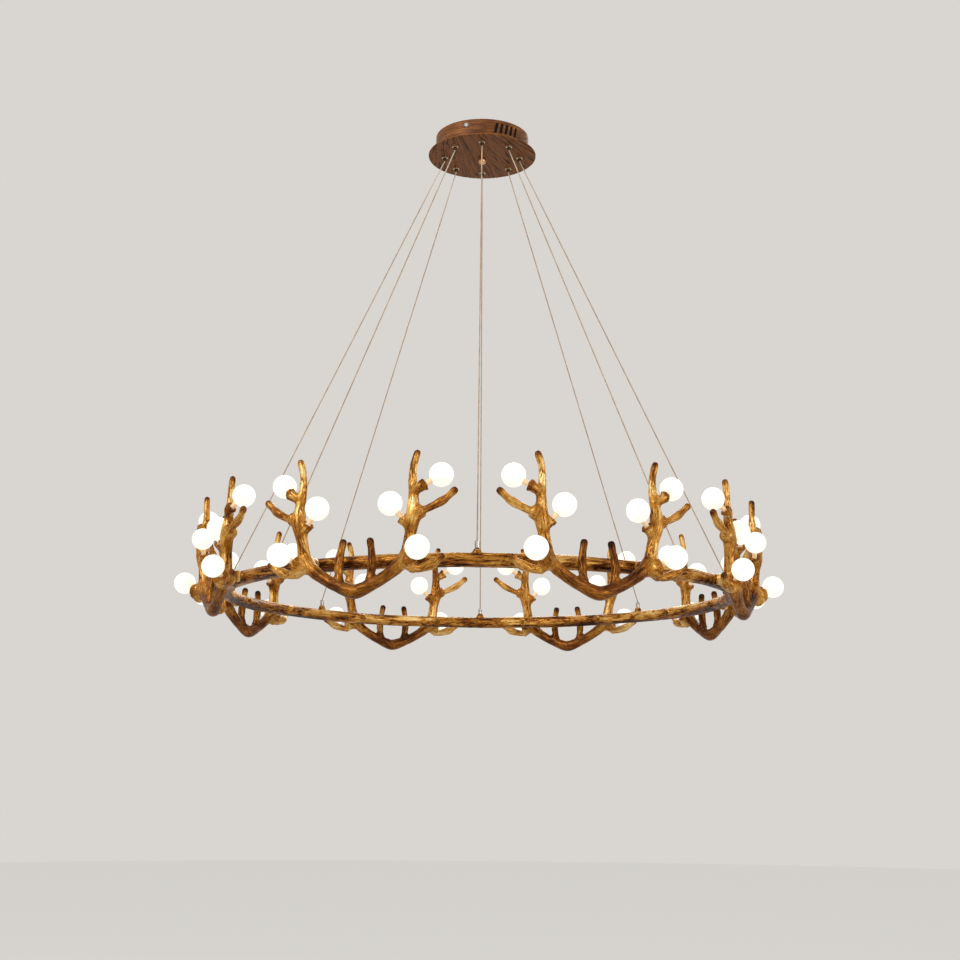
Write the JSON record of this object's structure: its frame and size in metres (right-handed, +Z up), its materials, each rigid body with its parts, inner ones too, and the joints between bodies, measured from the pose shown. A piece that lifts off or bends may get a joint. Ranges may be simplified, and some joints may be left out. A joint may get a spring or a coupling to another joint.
{
  "type": "antler chandelier",
  "caption": "Round chandelier: a branch-like ring with forked antler pairs and frosted globe lamps, hung on slanted straight cables from a round ceiling canopy.",
  "frame": {"origin": "centre of the ceiling face, where the bracket meets the ceiling", "axes": "+Z up, out of the canopy into the ceiling; -Y towards the front"},
  "size_m": [1.1792, 1.1792, 1.0459],
  "materials": {
    "zinc_steel": "zinc plated, dull",
    "bright_steel": "nickel plated, polished",
    "dark_steel": "browned screw heads",
    "brass": "satin brass",
    "aged_brass": "dark aged brass",
    "canopy_side_brown": "orange-brown paint with golden rubbed edges",
    "canopy_wood_grain": "carved chocolate-brown wood grain, satin",
    "bark_resin_ring": "cast resin, painted as golden-brown bark, semi-gloss",
    "bark_resin_antler": "cast resin, painted as golden-brown antler, semi-gloss",
    "holder_ceramic": "glazed off-white ceramic",
    "neck_plastic": "warm cream moulded base",
    "frosted_glass": "lit white frosted glass",
    "cable_sheath": "thin champagne sheath over steel",
    "driver_plastic": "dark grey moulded case",
    "terminal_plastic": "natural nylon"
  },
  "bodies": {
    "canopy": {"ceiling_bracket": "zinc_steel", "canopy_drum": "canopy_side_brown", "canopy_face": "canopy_wood_grain", "canopy_side_screws": "bright_steel", "centre_rod": "zinc_steel", "centre_lock_nuts": "zinc_steel", "centre_cap_nut": "brass", "lamp_driver": "driver_plastic", "terminal_block": "terminal_plastic", "cable_glands": "aged_brass", "cable_gland_nuts": "aged_brass", "suspension_cable_1": "cable_sheath", "suspension_cable_2": "cable_sheath", "suspension_cable_3": "cable_sheath", "suspension_cable_4": "cable_sheath", "suspension_cable_5": "cable_sheath", "suspension_cable_6": "cable_sheath", "suspension_cable_7": "cable_sheath", "suspension_cable_8": "cable_sheath"},
    "ring": {"ring_quarter_1": "bark_resin_ring", "ring_quarter_2": "bark_resin_ring", "ring_quarter_3": "bark_resin_ring", "ring_quarter_4": "bark_resin_ring", "ring_cable_grippers": "bright_steel", "antler_mount_screws": "dark_steel", "antler_pair_1": "bark_resin_antler", "lamp_holders_1": "holder_ceramic", "lamp_necks_1": "neck_plastic", "lamp_globes_1": "frosted_glass", "antler_pair_2": "bark_resin_antler", "lamp_holders_2": "holder_ceramic", "lamp_necks_2": "neck_plastic", "lamp_globes_2": "frosted_glass", "antler_pair_3": "bark_resin_antler", "lamp_holders_3": "holder_ceramic", "lamp_necks_3": "neck_plastic", "lamp_globes_3": "frosted_glass", "antler_pair_4": "bark_resin_antler", "lamp_holders_4": "holder_ceramic", "lamp_necks_4": "neck_plastic", "lamp_globes_4": "frosted_glass", "antler_pair_5": "bark_resin_antler", "lamp_holders_5": "holder_ceramic", "lamp_necks_5": "neck_plastic", "lamp_globes_5": "frosted_glass", "antler_pair_6": "bark_resin_antler", "lamp_holders_6": "holder_ceramic", "lamp_necks_6": "neck_plastic", "lamp_globes_6": "frosted_glass", "antler_pair_7": "bark_resin_antler", "lamp_holders_7": "holder_ceramic", "lamp_necks_7": "neck_plastic", "lamp_globes_7": "frosted_glass", "antler_pair_8": "bark_resin_antler", "lamp_holders_8": "holder_ceramic", "lamp_necks_8": "neck_plastic", "lamp_globes_8": "frosted_glass"}
  },
  "joints": [
    {"name": "height_adjust", "type": "slide", "parent": "canopy", "child": "ring", "axis": [0, 0, 1], "range_m": [0, 0.4], "deforming": ["suspension_cable_1", "suspension_cable_2", "suspension_cable_3", "suspension_cable_4", "suspension_cable_5", "suspension_cable_6", "suspension_cable_7", "suspension_cable_8"]}
  ]
}
